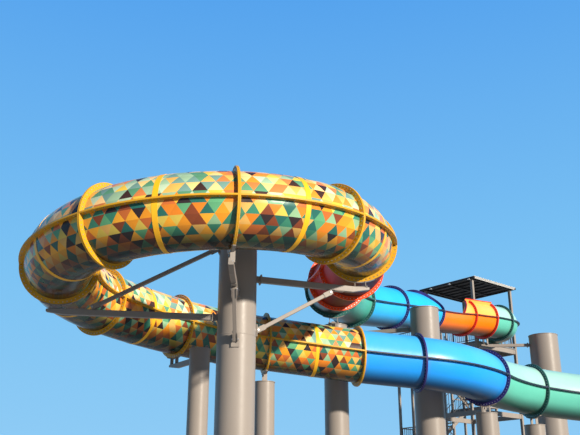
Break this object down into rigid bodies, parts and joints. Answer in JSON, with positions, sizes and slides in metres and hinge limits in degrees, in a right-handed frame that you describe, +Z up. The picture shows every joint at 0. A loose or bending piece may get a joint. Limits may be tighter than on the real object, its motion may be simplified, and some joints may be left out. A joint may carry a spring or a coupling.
{
  "type": "water slide tower with enclosed spiral tube",
  "caption": "Enclosed spiral tube slide on a steel column with arms, fed from a roofed start deck with stair, and led away by a lower run on columns.",
  "frame": {"origin": "centre of the main column's base plate, on the ground", "axes": "+Z up, +Y from the spiral's front towards the start deck, +X to the right as seen from the front"},
  "size_m": [18.1959, 28.9002, 11.8],
  "materials": {
    "patterned_fibreglass": "gloss, with a mosaic of triangles in amber, orange, tan, mint and green",
    "red_fibreglass": "gloss",
    "teal_fibreglass": "gloss",
    "blue_fibreglass": "gloss",
    "orange_fibreglass": "gloss",
    "painted_steel": "satin, warm light grey",
    "dark_steel": "satin",
    "deck_grating": "satin",
    "roof_sheet": "matt, ribbed"
  },
  "bodies": {
    "root": {"start_tube_upper": "teal_fibreglass", "start_tube_lower": "teal_fibreglass", "teal_inlet_upper": "teal_fibreglass", "teal_inlet_lower": "teal_fibreglass", "red_inlet_upper": "red_fibreglass", "red_inlet_lower": "red_fibreglass", "coil_east_upper": "patterned_fibreglass", "coil_east_lower": "patterned_fibreglass", "coil_west_upper": "patterned_fibreglass", "coil_west_lower": "patterned_fibreglass", "coil_back_upper": "patterned_fibreglass", "coil_back_lower": "patterned_fibreglass", "lower_run_upper": "patterned_fibreglass", "lower_run_lower": "patterned_fibreglass", "blue_outlet_upper": "blue_fibreglass", "blue_outlet_lower": "blue_fibreglass", "teal_outlet_upper": "teal_fibreglass", "teal_outlet_lower": "teal_fibreglass", "blue_inlet_upper": "blue_fibreglass", "blue_inlet_lower": "blue_fibreglass", "orange_hood": "orange_fibreglass", "orange_flume": "orange_fibreglass", "main_column": "painted_steel", "east_saddle": "painted_steel", "east_arm": "painted_steel", "east_strut": "painted_steel", "front_saddle": "painted_steel", "front_arm": "painted_steel", "front_strut": "painted_steel", "west_saddle": "painted_steel", "west_arm": "painted_steel", "west_tie": "painted_steel", "lower_run_column": "painted_steel", "outlet_end_column": "painted_steel", "outlet_column": "painted_steel", "cover_column": "painted_steel", "inlet_column": "painted_steel", "inlet_arm": "painted_steel", "blue_column": "painted_steel", "blue_arm": "painted_steel", "coil_back_column": "painted_steel", "coil_back_arm": "painted_steel", "hood_column": "painted_steel", "hood_arm": "painted_steel", "deck_frame": "painted_steel", "deck_floor": "deck_grating", "deck_roof": "roof_sheet", "deck_railing_left": "dark_steel", "deck_railing_right": "dark_steel", "stair_tower_left": "painted_steel", "stair_tower_right": "painted_steel", "stair_flight_1": "deck_grating", "stair_flight_2": "deck_grating", "stair_flight_3": "deck_grating", "stair_flight_4": "deck_grating"}
  },
  "joints": []
}
